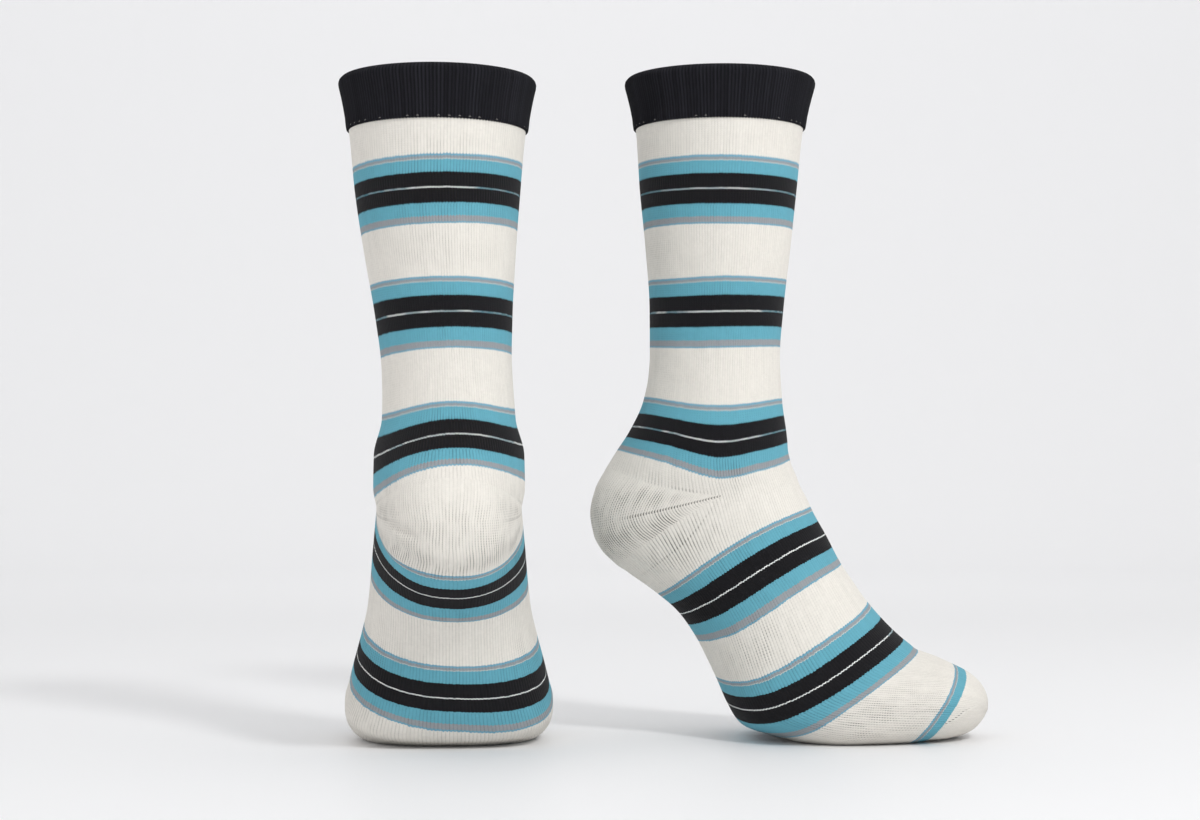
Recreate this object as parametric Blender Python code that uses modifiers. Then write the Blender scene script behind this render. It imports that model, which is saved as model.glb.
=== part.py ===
"""Pair of crew socks, each keeping the hollow form of a raised foot and standing on its ball and toes.

Each sock is a stack of courses, the rings in which a sock is knitted. A course is known by three points
in the sock's own middle plane (back, side and front) and by its half width. Every piece of cloth is an
open patch of that surface, thickened inwards, and the cuff is a folded welt lofted round it.
The sock's own frame has +X towards the toes and +Z up, with Z = 0 on the floor. Sizes are in millimetres.
"""

import math
from collections import namedtuple

import bmesh
import bpy
import numpy as np
from mathutils import Vector

MM = 0.001
MERGE_DISTANCE = 0.02
TINY = 1e-6

# Cloth and seams
CLOTH = 1.5
SEAM_GAP = 0.4

# How far the heel's corners at the ankle stay behind and under the point where three pieces meet
HEEL_CORNER_BACK = 0.9
HEEL_CORNER_DOWN = 0.2

# Counts round a whole course
TUBE_COLUMNS = 32
WELT_RIBS = 84
RIB_HEIGHT = 0.3

# Length of knitting from the rim, measured down the leg and along the foot
CUFF_END = 22.0
ANKLE = 195.0
TOE_START = 351.0

# Strips of faces down the leg and across the heel, and the narrow strip that faces a seam
LEG_STRIPS = 9
HEEL_STRIPS = 8
SEAM_STRIP = 1.0

# Lengths of knitting where the foot and the toe pocket have a row of corners, closest where the sole turns
ARCH_ROWS = (207.0, 219.0, 234.5, 250.0, 261.0, 272.0, 280.0)
SOLE_ROWS = (287.5, 291.5, 295.0, 299.0, 303.0, 308.0, 320.0, 336.0)
TOE_ROWS = (359.0, 364.0, 369.0, 373.0, 377.0, 380.0)

Course = namedtuple(
    "Course",
    "name down back_x back_z side_x side_z front_x front_z half_width back_round sole_reach",
    defaults=(2.0, 1.0),
)

# back_round is 2 for an ellipse and more for a squarer back or sole.
# sole_reach above 1 presses the sole flat against the floor.
LEG = [
    Course("lip", -5.0, -45.0, 330.0, 2.5, 330.0, 50.0, 330.0, 46.3),
    Course("rim", 0.0, -43.9, 325.0, 2.5, 325.0, 48.9, 325.0, 45.3),
    Course("cuff foot", 22.0, -39.5, 303.2, 2.3, 303.0, 44.0, 303.2, 41.5),
    Course("upper calf", 52.0, -37.5, 273.2, 1.7, 272.4, 40.8, 273.2, 38.7),
    Course("middle calf", 82.0, -34.6, 243.2, 1.3, 242.2, 37.6, 243.2, 35.4),
    Course("lower calf", 112.0, -32.6, 213.2, 0.7, 211.8, 34.2, 213.2, 32.1),
    Course("above the ankle", 134.0, -32.5, 190.8, 0.0, 188.3, 32.5, 190.8, 30.6),
    Course("third band top", 156.0, -35.5, 168.8, -0.9, 163.8, 33.5, 168.8, 31.3),
    Course("third band middle", 171.5, -42.3, 153.3, -1.2, 146.2, 35.6, 153.0, 35.2, 2.05),
    Course("third band foot", 186.5, -49.0, 142.8, -0.4, 129.8, 37.7, 138.2, 35.5, 2.15),
    Course("heel turn", 195.0, -54.0, 134.8, 2.1, 120.7, 39.9, 132.2, 34.0, 2.25),
]

HEEL = [
    Course("heel turn", 0.0, -54.0, 134.8, 2.1, 120.7, 39.9, 132.2, 34.0, 2.25),
    Course("upper heel", 13.0, -60.0, 123.2, 2.1, 120.7, 39.9, 132.2, 34.0, 2.4),
    Course("heel gore", 24.5, -62.3, 112.0, 2.1, 120.7, 39.9, 132.2, 34.0, 2.45),
    Course("lower heel", 36.0, -60.5, 100.8, 2.1, 120.7, 39.9, 132.2, 34.0, 2.45),
    Course("under heel", 44.5, -56.5, 93.2, 2.1, 120.7, 39.9, 132.2, 34.0, 2.4),
    Course("heel end", 55.0, -49.0, 85.8, 2.1, 120.7, 39.9, 132.2, 34.0, 2.35),
]

FOOT = [
    Course("heel end", 195.0, -49.0, 85.8, 2.1, 120.7, 39.9, 132.2, 34.0, 2.35),
    Course("fourth band top", 219.0, -29.5, 72.2, 8.6, 97.6, 47.9, 114.2, 36.2, 2.2),
    Course("fourth band middle", 234.5, -18.5, 62.7, 17.2, 83.2, 55.5, 100.6, 37.6, 2.15),
    Course("fourth band foot", 250.0, -9.0, 49.2, 26.4, 69.4, 62.5, 87.2, 39.4, 2.15),
    Course("arch", 261.0, -3.6, 38.6, 32.2, 55.4, 69.0, 77.4, 42.6, 2.2),
    Course("fifth band top", 272.0, 1.0, 28.8, 37.6, 41.8, 75.5, 68.2, 46.2, 2.3),
    Course("fifth band line", 287.5, 7.0, 15.4, 46.2, 28.8, 88.0, 54.4, 49.6, 2.6),
    Course("sole turn", 295.0, 12.6, 7.3, 52.0, 24.0, 94.0, 49.0, 51.0, 2.8),
    Course("sole", 299.0, 21.0, 3.7, 56.6, 21.6, 97.3, 46.4, 51.2, 2.75),
    Course("fifth band foot", 303.0, 31.5, 1.2, 61.0, 20.2, 100.3, 43.9, 51.4, 2.8, 1.01),
    Course("heel of the ball", 308.0, 41.0, 0.2, 66.4, 19.6, 103.3, 42.8, 51.4, 3.0, 1.06),
    Course("ball", 323.0, 62.0, 0.0, 83.0, 18.8, 110.5, 40.2, 50.6, 3.4, 1.15),
    Course("sixth band top", 343.0, 94.0, 0.0, 106.6, 17.6, 118.5, 36.6, 43.4, 3.2, 1.1),
    Course("sixth band foot", 351.0, 102.0, 0.0, 113.4, 16.6, 124.3, 33.8, 39.4, 3.0, 1.05),
]

TOE = [
    Course("toe", 359.0, 111.0, 0.0, 120.6, 15.8, 129.3, 30.4, 34.0, 2.8, 1.03),
    Course("toe rise", 366.0, 119.0, 0.5, 126.4, 15.2, 132.8, 26.6, 27.4, 2.4),
    Course("toe turn", 372.0, 126.5, 3.0, 131.2, 14.4, 135.0, 22.4, 19.0, 2.3),
    Course("toe end", 377.0, 132.0, 7.4, 134.2, 13.8, 136.0, 18.4, 10.0, 2.2),
    Course("toe tip", 380.0, 136.2, 13.0, 136.3, 13.4, 136.4, 13.8, 0.6, 2.0),
]

# Folded welt: how far down the knitting, how far outside the leg, and how much of the rib shows there
WeltRow = namedtuple("WeltRow", "down outset rib_share")
WELT_OUTSIDE = [
    WeltRow(CUFF_END - SEAM_GAP, 0.15, 0.0),
    WeltRow(20.2, 0.65, 0.7),
    WeltRow(3.0, 0.85, 1.0),
    WeltRow(-0.6, 0.45, 1.0),
    WeltRow(-2.9, -1.0, 0.8),
    WeltRow(-3.7, -2.4, 0.3),
]
WELT_INSIDE = [
    WeltRow(-2.6, -3.7, 0.0),
    WeltRow(1.5, -3.4, 0.0),
    WeltRow(8.0, -1.9, 0.0),
    WeltRow(CUFF_END - SEAM_GAP, -1.9, 0.0),
]

# Where each sock stands: its leg's place and heading, how tall it stands, how far its leg leans sideways
# and how far its sole is pressed flat by the floor
Stand = namedtuple("Stand", "side x y heading height_share lean press")
STANDS = [
    Stand("left", -104.3, -37.0, math.radians(93.7), 0.968, 5.5, 1.5),
    Stand("right", 23.9, 33.0, 0.0, 1.0, 0.0, 0.0),
]
LEAN_FROM = 150.0
LEAN_TO = 285.0

Finish = namedtuple("Finish", "name colour roughness")
BLACK_WELT = Finish("black_welt_knit", (0.020, 0.019, 0.023, 1.0), 0.90)
CREAM_KNIT = Finish("cream_cotton_knit", (0.76, 0.71, 0.64, 1.0), 0.92)


def clear_scene():
    """Remove whatever the scene holds."""
    for thing in list(bpy.data.objects):
        bpy.data.objects.remove(thing, do_unlink=True)


def knit_material(finish):
    """Plain cloth finish."""
    material = bpy.data.materials.new(finish.name)
    material.use_nodes = True
    shader = material.node_tree.nodes["Principled BSDF"]
    shader.inputs["Base Color"].default_value = finish.colour
    shader.inputs["Roughness"].default_value = finish.roughness
    shader.inputs["Metallic"].default_value = 0.0
    return material


def chord_tilt(courses):
    """Slope of the line from back to front of each course."""
    rises = np.array([course.front_z - course.back_z for course in courses])
    runs = np.array([course.front_x - course.back_x for course in courses])
    return np.arctan2(rises, runs)


def course_columns(courses, instep_tilts):
    """Table of a stack of courses, a row for each, with the tilt of its instep half as last column."""
    numbers = np.array([list(course[2:]) for course in courses])
    return np.column_stack([numbers, instep_tilts])


def monotone_curve(knots, values, places):
    """Cubic curve through the values at the knots, read at the places, that never swings past a value."""
    gaps = np.diff(knots)[:, None]
    rises = np.diff(values, axis=0) / gaps
    before, after = rises[:-1], rises[1:]
    weight_before = 2 * gaps[1:] + gaps[:-1]
    weight_after = gaps[1:] + 2 * gaps[:-1]
    same_way = before * after > 0
    safe_before = np.where(same_way, before, 1.0)
    safe_after = np.where(same_way, after, 1.0)
    mean = (weight_before + weight_after) / (weight_before / safe_before + weight_after / safe_after)
    slopes = np.vstack([rises[:1], np.where(same_way, mean, 0.0), rises[-1:]])
    index = np.clip(np.searchsorted(knots, places, side="right") - 1, 0, len(gaps) - 1)
    gap = gaps[index]
    t = (places - knots[index])[:, None] / gap
    start = (1 + 2 * t) * (1 - t) ** 2 * values[index] + t * (1 - t) ** 2 * gap * slopes[index]
    end = t * t * (3 - 2 * t) * values[index + 1] - t * t * (1 - t) * gap * slopes[index + 1]
    return start + end


class Stack:
    """A stack of courses that can be read at any length of knitting."""

    def __init__(self, courses, instep_tilts):
        self.knots = np.array([course.down for course in courses])
        self.values = course_columns(courses, instep_tilts)

    def points(self, downs, angles):
        """Grid of points, a row for each length down and a column for each angle.

        The angle is 0 at the instep, a quarter turn at the sock's left side and a half turn at the back.
        """
        columns = monotone_curve(self.knots, self.values, np.asarray(downs, dtype=float)).T
        back_x, back_z, side_x, side_z, front_x, front_z, width, back_round, reach, instep_tilt = (
            column[:, None] for column in columns
        )
        across = np.sin(np.asarray(angles))[None, :]
        along = np.cos(np.asarray(angles))[None, :]
        behind = along < 0
        roundness = np.where(behind, back_round, 2.0)
        forward = np.abs(along) ** (2 / roundness)
        forward = np.where(behind, np.minimum(1.0, reach * forward), forward)
        sideways = np.sign(across) * np.abs(across) ** (2 / roundness) * width
        tilt = np.where(behind, np.arctan2(front_z - back_z, front_x - back_x), instep_tilt)
        end_x = np.where(behind, back_x, front_x) - side_x
        end_z = np.where(behind, back_z, front_z) - side_z
        level = end_x * np.cos(tilt) + end_z * np.sin(tilt)
        rise = end_z * np.cos(tilt) - end_x * np.sin(tilt)
        x = side_x + level * np.cos(tilt) * forward - rise * np.sin(tilt) * forward**2
        z = side_z + level * np.sin(tilt) * forward + rise * np.cos(tilt) * forward**2
        return np.stack([x, sideways, np.maximum(z, 0.0)], axis=-1)


def sock_stacks():
    """The stacks of a sock. The instep half runs past the heel, so its tilt there is the heel's mean."""
    heel_tilts = chord_tilt(HEEL)
    mean_tilt = (heel_tilts[0] + heel_tilts[-1]) / 2
    leg_tilts = chord_tilt(LEG)
    leg_tilts[-1] = mean_tilt
    foot_tilts = chord_tilt(FOOT + TOE)
    foot_tilts[0] = mean_tilt
    return {
        "leg": Stack(LEG, leg_tilts),
        "heel": Stack(HEEL, heel_tilts),
        "foot": Stack(FOOT + TOE, foot_tilts),
    }


def stand_points(points, stand):
    """Points of a sock with this one's own height and lean."""
    share = np.clip((points[..., 2] - LEAN_FROM) / (LEAN_TO - LEAN_FROM), 0.0, 1.0)
    shaped = points.copy()
    shaped[..., 1] += stand.lean * share * share * (3 - 2 * share)
    shaped[..., 2] = np.maximum(shaped[..., 2] * stand.height_share - stand.press, 0.0)
    return shaped


def pull_row(grid, row, towards, distance):
    """Move a row of a grid towards a neighbouring row by a distance."""
    step = grid[towards] - grid[row]
    length = np.linalg.norm(step, axis=-1, keepdims=True)
    grid[row] += step / np.maximum(length, TINY) * distance


def grid_mesh(name, grid, closed):
    """Open mesh through a grid of points, whose columns meet round the back if it is closed."""
    rows, columns = grid.shape[:2]
    mesh = bpy.data.meshes.new(name)
    work = bmesh.new()
    corners = [[work.verts.new(point * MM) for point in line] for line in grid]
    for row in range(rows - 1):
        for column in range(columns if closed else columns - 1):
            following = (column + 1) % columns
            work.faces.new(
                (
                    corners[row][column],
                    corners[row + 1][column],
                    corners[row + 1][following],
                    corners[row][following],
                )
            )
    bmesh.ops.remove_doubles(work, verts=work.verts, dist=MERGE_DISTANCE * MM)
    bmesh.ops.recalc_face_normals(work, faces=work.faces)
    work.to_mesh(mesh)
    work.free()
    return mesh


def add_piece(name, mesh, finish, holder, collection):
    """Object for one piece of a sock, carried by the sock's empty."""
    mesh.materials.append(finish)
    mesh.shade_smooth()
    piece = bpy.data.objects.new(name, mesh)
    piece.parent = holder
    collection.objects.link(piece)
    return piece


def thicken(piece):
    """Give the open cloth its wall, inwards from the outer face."""
    wall = piece.modifiers.new("wall", "SOLIDIFY")
    wall.thickness = CLOTH * MM
    wall.offset = -1.0
    wall.use_even_offset = True


def face_outwards(mesh, middle):
    """Turn an open patch so that its faces look away from a point inside the sock."""
    work = bmesh.new()
    work.from_mesh(mesh)
    outward = sum(
        face.normal.dot(face.calc_center_median() - middle) * face.calc_area() for face in work.faces
    )
    if outward < 0:
        bmesh.ops.reverse_faces(work, faces=work.faces)
    work.to_mesh(mesh)
    work.free()


def cloth_piece(name, grid, closed, stand, finish, holder, collection):
    """One knitted patch as a solid wall of cloth."""
    shaped = stand_points(grid, stand)
    mesh = grid_mesh(name, shaped, closed)
    face_outwards(mesh, mesh_middle(shaped))
    thicken(add_piece(name, mesh, finish, holder, collection))


def mesh_middle(grid):
    """Middle of a grid of points, in metres."""
    return Vector(grid.reshape(-1, 3).mean(axis=0) * MM)


def full_turn(count):
    """Angles of the columns round a whole course."""
    return np.arange(count) * 2 * math.pi / count


def leg_grid(stacks):
    """Leg, from under the cuff to the turn of the heel."""
    downs = np.append(np.linspace(CUFF_END, ANKLE - SEAM_STRIP, LEG_STRIPS + 1), ANKLE)
    grid = stacks["leg"].points(downs, full_turn(TUBE_COLUMNS))
    pull_row(grid, -1, -2, SEAM_GAP / 2)
    return grid


def heel_grid(stacks):
    """Heel pocket: the back half only, whose courses all meet at the ankle on either side."""
    downs = np.linspace(HEEL[0].down, HEEL[-1].down, HEEL_STRIPS + 1)
    angles = np.linspace(math.pi / 2, 3 * math.pi / 2, TUBE_COLUMNS // 2 + 1)
    grid = stacks["heel"].points(downs, angles)
    pull_row(grid, 0, 1, SEAM_GAP / 2)
    pull_row(grid, -1, -2, SEAM_GAP / 2)
    for corner in (0, -1):
        grid[:, corner, 0] = HEEL[0].side_x - HEEL_CORNER_BACK
        grid[:, corner, 2] = HEEL[0].side_z - HEEL_CORNER_DOWN
    return grid


def foot_grid(stacks):
    """Foot, from the heel and the instep to the toe pocket."""
    downs = [ANKLE, ANKLE + SEAM_STRIP, *ARCH_ROWS, *SOLE_ROWS, TOE_START - SEAM_STRIP, TOE_START]
    grid = stacks["foot"].points(downs, full_turn(TUBE_COLUMNS))
    pull_row(grid, 0, 1, SEAM_GAP / 2)
    pull_row(grid, -1, -2, SEAM_GAP / 2)
    return grid


def toe_grid(stacks):
    """Toe pocket, closed at its tip."""
    downs = [TOE_START, TOE_START + SEAM_STRIP, *TOE_ROWS]
    grid = stacks["foot"].points(downs, full_turn(TUBE_COLUMNS))
    pull_row(grid, 0, 1, SEAM_GAP / 2)
    grid[-1] = grid[-1].mean(axis=0)
    return grid


def welt_ring(stack, row, count):
    """Ring of the folded welt: the leg's course, moved out, with its ribs."""
    angles = full_turn(count)
    ring = stack.points([row.down], angles)[0]
    ribs = RIB_HEIGHT * row.rib_share * (-1.0) ** np.arange(count)
    outward = np.stack([np.cos(angles), np.sin(angles), np.zeros(count)], axis=-1)
    return ring + outward * (row.outset + ribs)[:, None]


def bridge(work, fine, coarse):
    """Join a ring to another of as many points or of half as many."""
    count = len(fine)
    step = count // len(coarse)
    for index in range(0, count, step):
        near = coarse[index // step]
        far = coarse[(index // step + 1) % len(coarse)]
        first = fine[index]
        last = fine[(index + step) % count]
        if step == 1:
            work.faces.new((first, last, far, near))
        else:
            middle = fine[index + 1]
            work.faces.new((first, middle, near))
            work.faces.new((middle, far, near))
            work.faces.new((middle, last, far))


def welt_mesh(name, stack, stand):
    """Cuff: a closed welt, ribbed outside and plain inside."""
    work = bmesh.new()
    rings = []
    for rows, count in ((WELT_OUTSIDE, 2 * WELT_RIBS), (WELT_INSIDE, WELT_RIBS)):
        for row in rows:
            ring = stand_points(welt_ring(stack, row, count), stand)
            rings.append([work.verts.new(point * MM) for point in ring])
    for ring, following in zip(rings, rings[1:]):
        bridge(work, ring, following)
    bridge(work, rings[0], rings[-1])
    bmesh.ops.recalc_face_normals(work, faces=work.faces)
    mesh = bpy.data.meshes.new(name)
    work.to_mesh(mesh)
    work.free()
    return mesh


def make_sock(stand, stacks, welt_finish, knit_finish, collection):
    """One sock: cuff, leg, heel pocket, foot and toe pocket."""
    holder = bpy.data.objects.new(stand.side + "_sock_place", None)
    holder.location = (stand.x * MM, stand.y * MM, 0.0)
    holder.rotation_euler = (0.0, 0.0, stand.heading)
    collection.objects.link(holder)
    cuff = welt_mesh(stand.side + "_cuff", stacks["leg"], stand)
    add_piece(stand.side + "_cuff", cuff, welt_finish, holder, collection)
    patches = (
        ("leg", leg_grid(stacks), True),
        ("heel", heel_grid(stacks), False),
        ("foot", foot_grid(stacks), True),
        ("toe", toe_grid(stacks), True),
    )
    for part, grid, closed in patches:
        cloth_piece(stand.side + "_" + part, grid, closed, stand, knit_finish, holder, collection)


def main():
    """Build the pair."""
    clear_scene()
    collection = bpy.data.collections.new("pair_of_socks")
    bpy.context.scene.collection.children.link(collection)
    welt_finish = knit_material(BLACK_WELT)
    knit_finish = knit_material(CREAM_KNIT)
    stacks = sock_stacks()
    for stand in STANDS:
        make_sock(stand, stacks, welt_finish, knit_finish, collection)


main()
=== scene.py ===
"""Looks of a pair of striped crew socks that keep the hollow form of a raised foot.

Every cloth piece is a fine thin shell on the form of its solid, and the cuffs are folded welts with ribs.
The knit and its stripes are procedural, laid out on four maps of each piece: "knit" holds wales round the
sock and millimetres down it, "bands" the stripe bands passed and how white their thin line is, "row" how
strong a row of small holes is and how far off, and "openness" how open the knit's grooves and holes are.
The sock's own frame has +X towards the toes and +Z up, in millimetres.
"""

import math
from collections import namedtuple

import bpy
import numpy as np
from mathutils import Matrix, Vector


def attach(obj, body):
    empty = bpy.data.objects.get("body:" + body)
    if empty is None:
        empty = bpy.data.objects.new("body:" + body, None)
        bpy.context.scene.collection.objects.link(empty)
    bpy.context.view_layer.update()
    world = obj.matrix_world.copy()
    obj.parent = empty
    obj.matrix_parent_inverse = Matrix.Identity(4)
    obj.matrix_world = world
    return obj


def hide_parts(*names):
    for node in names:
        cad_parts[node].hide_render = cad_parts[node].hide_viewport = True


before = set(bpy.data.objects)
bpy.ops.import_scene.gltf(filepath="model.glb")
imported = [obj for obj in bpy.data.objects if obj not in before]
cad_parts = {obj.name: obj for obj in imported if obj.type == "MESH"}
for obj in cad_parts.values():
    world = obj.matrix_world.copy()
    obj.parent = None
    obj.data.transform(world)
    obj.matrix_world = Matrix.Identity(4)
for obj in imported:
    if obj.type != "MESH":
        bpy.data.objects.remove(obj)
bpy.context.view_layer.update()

MM = 0.001
TINY = 1e-6

# Thickness of the cloth, and the needles that knit it round
CLOTH = 1.4
NEEDLES = 168
QUARTER = NEEDLES // 4

# Length of knitting from the rim, down the leg and along the foot. The leg starts under the cuff.
LEG_TOP = 20.5
CUFF_END = 22.0
ANKLE = 195.0
TOE_START = 351.0
SOCK_END = 380.0

# Fineness of the shells
COLUMNS = 256
LEG_ROWS = 116
HEEL_ROWS = 60
FOOT_ROWS = 112
TOE_ROWS = 34
WELT_STEPS = 1440

# How much the toe's rows crowd towards its tip
TOE_CROWDING = 1.4

Course = namedtuple(
    "Course",
    "down back_x back_z side_x side_z front_x front_z half_width back_round sole_reach",
    defaults=(2.0, 1.0),
)

# back_round is 2 for an ellipse and more for a squarer back or sole.
# sole_reach above 1 presses the sole flat against the floor.
# HEEL_FRONT is side_x to half_width at every course that the heel pocket meets or holds.
HEEL_FRONT = (2.1, 120.7, 39.9, 132.2, 34.0)
LEG = [
    Course(-5, -45, 330, 2.5, 330, 50, 330, 46.3),
    Course(0, -43.9, 325, 2.5, 325, 48.9, 325, 45.3),
    Course(22, -39.5, 303.2, 2.3, 303, 44, 303.2, 41.5),
    Course(52, -37.5, 273.2, 1.7, 272.4, 40.8, 273.2, 38.7),
    Course(82, -34.6, 243.2, 1.3, 242.2, 37.6, 243.2, 35.4),
    Course(112, -32.6, 213.2, 0.7, 211.8, 34.2, 213.2, 32.1),
    Course(134, -32.5, 190.8, 0, 188.3, 32.5, 190.8, 30.6),
    Course(156, -35.5, 168.8, -0.9, 163.8, 33.5, 168.8, 31.3),
    Course(171.5, -42.3, 153.3, -1.2, 146.2, 35.6, 153, 35.2, 2.05),
    Course(186.5, -49, 142.8, -0.4, 129.8, 37.7, 138.2, 35.5, 2.15),
    Course(195, -54, 134.8, *HEEL_FRONT, 2.25),
]
HEEL = [
    Course(0, -54, 134.8, *HEEL_FRONT, 2.25),
    Course(13, -60, 123.2, *HEEL_FRONT, 2.4),
    Course(24.5, -62.3, 112, *HEEL_FRONT, 2.45),
    Course(36, -60.5, 100.8, *HEEL_FRONT, 2.45),
    Course(44.5, -56.5, 93.2, *HEEL_FRONT, 2.4),
    Course(55, -49, 85.8, *HEEL_FRONT, 2.35),
]
FOOT = [
    Course(195, -49, 85.8, *HEEL_FRONT, 2.35),
    Course(219, -29.5, 72.2, 8.6, 97.6, 47.9, 114.2, 36.2, 2.2),
    Course(234.5, -18.5, 62.7, 17.2, 83.2, 55.5, 100.6, 37.6, 2.15),
    Course(250, -9, 49.2, 26.4, 69.4, 62.5, 87.2, 39.4, 2.15),
    Course(261, -3.6, 38.6, 32.2, 55.4, 69, 77.4, 42.6, 2.2),
    Course(272, 1, 28.8, 37.6, 41.8, 75.5, 68.2, 46.2, 2.3),
    Course(287.5, 7, 15.4, 46.2, 28.8, 88, 54.4, 49.6, 2.6),
    Course(295, 12.6, 7.3, 52, 24, 94, 49, 51, 2.8),
    Course(299, 21, 3.7, 56.6, 21.6, 97.3, 46.4, 51.2, 2.75),
    Course(303, 31.5, 1.2, 61, 20.2, 100.3, 43.9, 51.4, 2.8, 1.01),
    Course(308, 41, 0.2, 66.4, 19.6, 103.3, 42.8, 51.4, 3, 1.06),
    Course(323, 62, 0, 83, 18.8, 110.5, 40.2, 50.6, 3.4, 1.15),
    Course(343, 94, 0, 106.6, 17.6, 118.5, 36.6, 43.4, 3.2, 1.1),
    Course(351, 102, 0, 113.4, 16.6, 124.3, 33.8, 39.4, 3, 1.05),
    Course(359, 111, 0, 120.6, 15.8, 129.3, 30.4, 34, 2.8, 1.03),
    Course(366, 119, 0.5, 126.4, 15.2, 132.8, 26.6, 27.4, 2.4),
    Course(372, 126.5, 3, 131.2, 14.4, 135, 22.4, 19, 2.3),
    Course(377, 132, 7.4, 134.2, 13.8, 136, 18.4, 10, 2.2),
    Course(380, 136.2, 13, 136.3, 13.4, 136.4, 13.8, 0.6, 2),
]

# Folded welt: how far down, how far outside the leg, how much of the rib shows, and how far the ribs reach
# down past the grooves
WeltRow = namedtuple("WeltRow", "down outset rib_share tooth", defaults=(0.0,))
WELT = [
    WeltRow(21.9, -0.7, 0),
    WeltRow(22, 0.1, 0.1, 0.3),
    WeltRow(21.9, 0.5, 0.5, 0.3),
    WeltRow(21.4, 0.85, 0.9, 0.25),
    WeltRow(20.2, 0.95, 1),
    WeltRow(16, 0.75, 1),
    WeltRow(11, 0.7, 1),
    WeltRow(6, 0.75, 1),
    WeltRow(3, 0.85, 1),
    WeltRow(1, 0.95, 1),
    WeltRow(-0.6, 0.8, 1),
    WeltRow(-1.9, 0.2, 1),
    WeltRow(-2.9, -0.8, 0.9),
    WeltRow(-3.5, -1.7, 0.7),
    WeltRow(-3.7, -2.4, 0.4),
    WeltRow(-3.5, -3.2, 0.25),
    WeltRow(-2.6, -3.7, 0.2),
    WeltRow(-0.6, -3.8, 0.2),
    WeltRow(1.5, -3.4, 0.2),
    WeltRow(8, -2.2, 0.2),
    WeltRow(15, -1.9, 0.2),
    WeltRow(21.4, -1.8, 0.2),
    WeltRow(21.9, -1.4, 0),
]
WELT_RIB_HEIGHT = 0.24
WELT_COLUMNS = NEEDLES * 6

# Loose pale stitches that show on some wales just above the welt's lower edge
STRAY_LENGTH = 2.6
STRAY_REACH = 0.15
STRAY_WALES = 3
STRAY_SHARE = 0.5
STRAY_STRENGTH = 0.6

# Where each sock stands: its leg's place and heading, how tall it stands, how far its leg leans sideways
# and how far its sole is pressed flat by the floor
Stand = namedtuple("Stand", "side x y heading height_share lean press")
STANDS = [
    Stand("left", -104.3, -37.0, math.radians(93.7), 0.968, 5.5, 1.5),
    Stand("right", 23.9, 33.0, 0.0, 1.0, 0.0, 0.0),
]
LEAN_FROM = 150.0
LEAN_TO = 285.0

# Stripe bands of each sock: where the band's top, its thin line and its foot lie down the knitting. A ring
# gives the place in front, a quarter round, at the sides, three quarters round and at the back, how much
# lower it lies at the sock's left than at its right, and how far it dips to a point at the sides.
Ring = namedtuple("Ring", "front fore side aft back slope point", defaults=(0.0, 0.0))
RING_PLACES = 5
POINT_TURN = 30.0
Band = namedtuple("Band", "top line foot")
TOE_BAND = Band(*[Ring(*[down] * RING_PLACES) for down in (345.0, 358.0, 371.0)])
LEFT_BANDS = [
    Band(Ring(41.5, 41.5, 41.5, 41.3, 41.1, 2.6),
         Ring(54.5, 54.4, 54.3, 54.1, 54.1, 2.2),
         Ring(68, 67.7, 67.5, 67.1, 67.2, 3)),
    Band(Ring(98.5, 98.4, 98.4, 98.1, 97.9, 1.3),
         Ring(112.3, 112.2, 112.2, 111.9, 111.9, 2),
         Ring(125.6, 125.5, 125.5, 125.2, 125.2, 2)),
    Band(Ring(156.5, 156.2, 155.6, 156.8, 156.3, 2.6),
         Ring(169.5, 170, 170.2, 170.4, 169, 5.8),
         Ring(182.5, 183.3, 183.4, 185, 185.5, 7.4)),
    Band(Ring(221, 213, 202.2, 196, 193.8, -7.5),
         Ring(234, 225, 214.5, 209.5, 208.2, -8),
         Ring(247, 238, 229, 226.2, 225.4, -6.5)),
    Band(Ring(274, 267.5, 260.7, 258.4, 257.8, -5.5),
         Ring(287, 279, 271, 271, 273.2, -9),
         Ring(300, 291, 283, 285, 287.9, -13)),
    TOE_BAND,
]
RIGHT_BANDS = [
    Band(Ring(42.5, 42.5, 41.8, 42.1, 42),
         Ring(56, 55.5, 55, 55.2, 55.2),
         Ring(68.8, 68.5, 68.2, 68.5, 69)),
    Band(Ring(99.8, 99.7, 99.2, 100.4, 100.2),
         Ring(113.8, 113.5, 113.5, 114, 114),
         Ring(126.8, 126.5, 126.4, 127.1, 127)),
    Band(Ring(158.3, 157.8, 157.7, 157.2, 157.5),
         Ring(171, 170.5, 169.9, 168.5, 169.5, 0, 1.2),
         Ring(182.5, 182.2, 180.9, 180.4, 182.3, 0, 2.8)),
    Band(Ring(220.5, 220.5, 221.2, 222.9, 222.5),
         Ring(233.5, 233.2, 235, 236.9, 236),
         Ring(247.2, 247.2, 249, 250, 247.5)),
    Band(Ring(275, 274, 273.6, 275.2, 272.5),
         Ring(288, 286.4, 287.8, 288.5, 285.5),
         Ring(300.3, 299.7, 301.3, 300.6, 297.5)),
    TOE_BAND,
]
BANDS = {"left": LEFT_BANDS, "right": RIGHT_BANDS}

# Widths of the pale edges over and under each band
BAND_HEAD = 2.7
BAND_TAIL = 3.7

# The bands of each piece, and the plain knit counted before the first and after the last of them
PIECE_BANDS = {"leg": (0, 1, 2), "heel": (3,), "foot": (3, 4, 5), "toe": (3, 4, 5)}
PLAIN_LENGTH = 15.0
PLAIN_COUNT = 0.2

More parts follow.
